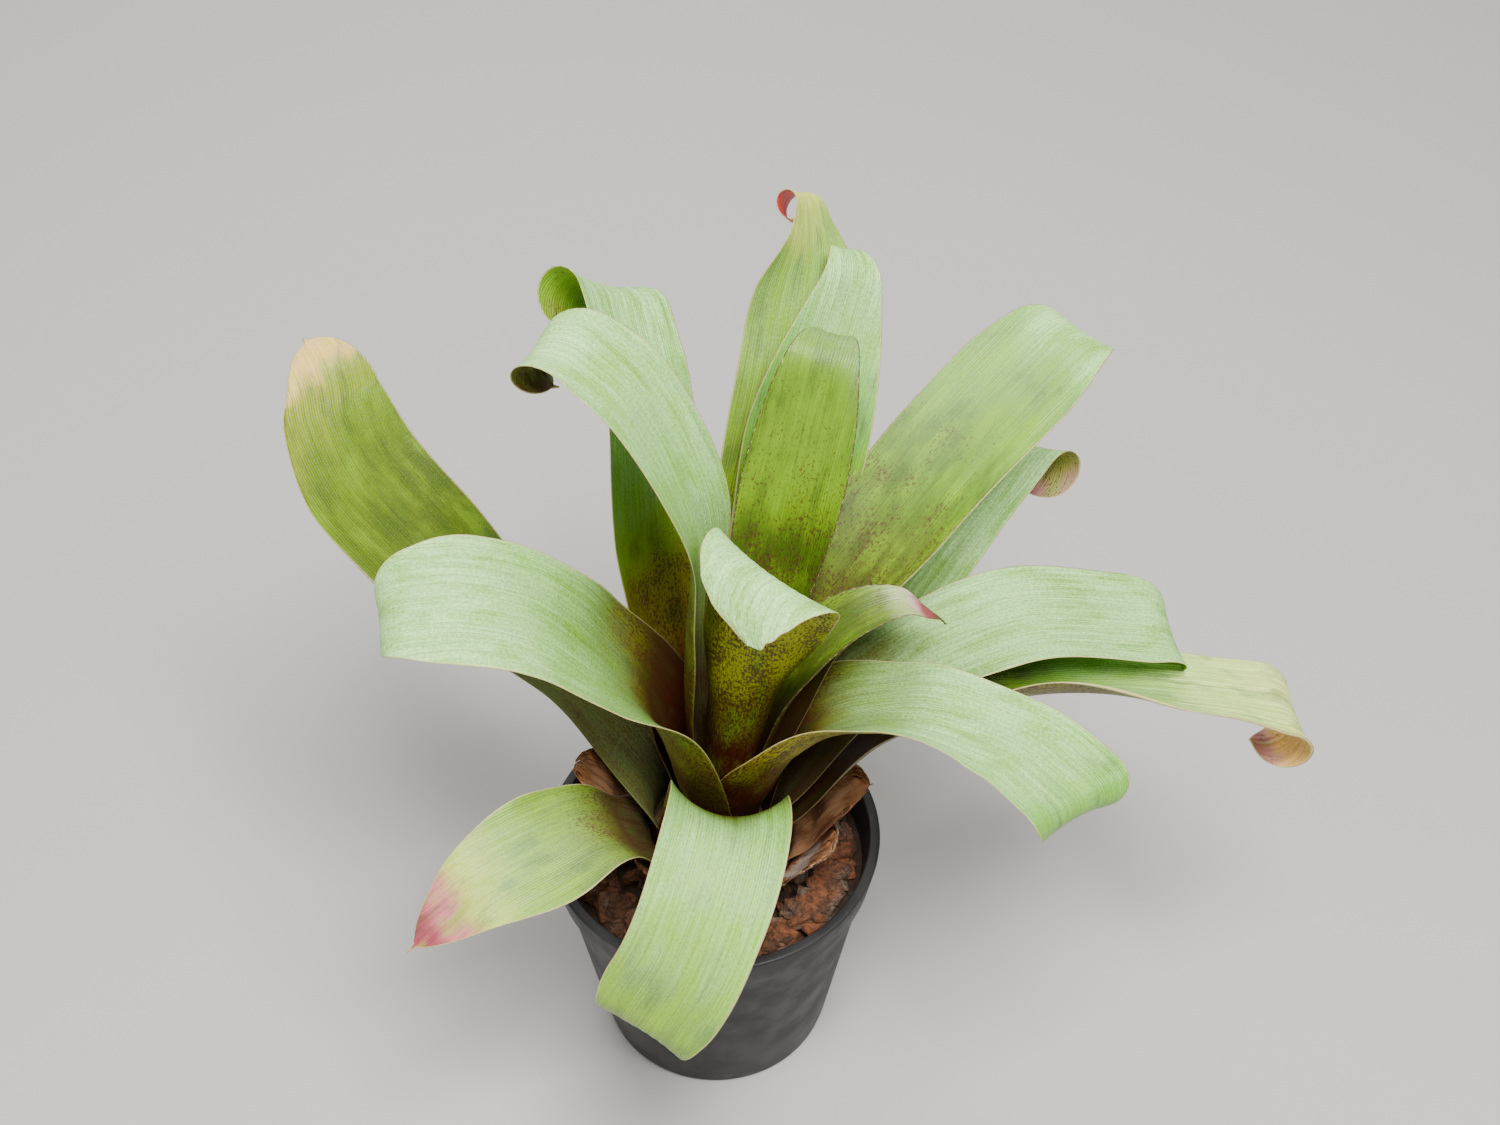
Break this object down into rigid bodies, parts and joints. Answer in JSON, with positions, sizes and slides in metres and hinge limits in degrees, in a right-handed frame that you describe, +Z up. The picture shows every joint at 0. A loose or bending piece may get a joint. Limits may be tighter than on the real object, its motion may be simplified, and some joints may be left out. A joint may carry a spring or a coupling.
{
  "type": "potted vriesea saundersii",
  "caption": "Potted bromeliad rosette: broad channelled leaves with rolled-under tips and nested sheaths, on a short stem in bark mix, in a plain round tapered nursery pot",
  "frame": {"origin": "centre of the flat underside of the pot, on the surface that the plant stands on", "axes": "+Z up along the pot's axis; +X to the right as seen from the front, the way the crown leans; +Y away from the front"},
  "size_m": [0.3183, 0.2126, 0.282],
  "materials": {
    "pot": "fine matt black moulded plastic",
    "mix": "rough dry bark chips",
    "stem": "dull fibrous stem tissue",
    "leaf": "satin, grey-green with a pale bloom and maroon-brown mottling beneath",
    "dry_sheath": "papery dry brown, streaked"
  },
  "bodies": {
    "root": {"pot": "pot", "growing_mix": "mix", "stem": "stem", "leaf_heart": "leaf", "leaf_small_pointed": "leaf", "leaf_inner_upright": "leaf", "leaf_left_upright": "leaf", "leaf_right_broad": "leaf", "leaf_right_front": "leaf", "leaf_left_front": "leaf", "leaf_left_back": "leaf", "leaf_back_broad": "leaf", "leaf_right_level": "leaf", "leaf_back_tall": "leaf", "leaf_right_low": "leaf", "leaf_right_rolled": "leaf", "leaf_left_low": "leaf", "leaf_front_drooping": "leaf", "leaf_left_pink_tipped": "leaf", "dry_sheath_left": "dry_sheath", "dry_sheath_left_front": "dry_sheath", "dry_sheath_front": "dry_sheath", "dry_sheath_back": "dry_sheath", "dry_sheath_right": "dry_sheath", "dry_sheath_right_front": "dry_sheath"}
  },
  "joints": []
}
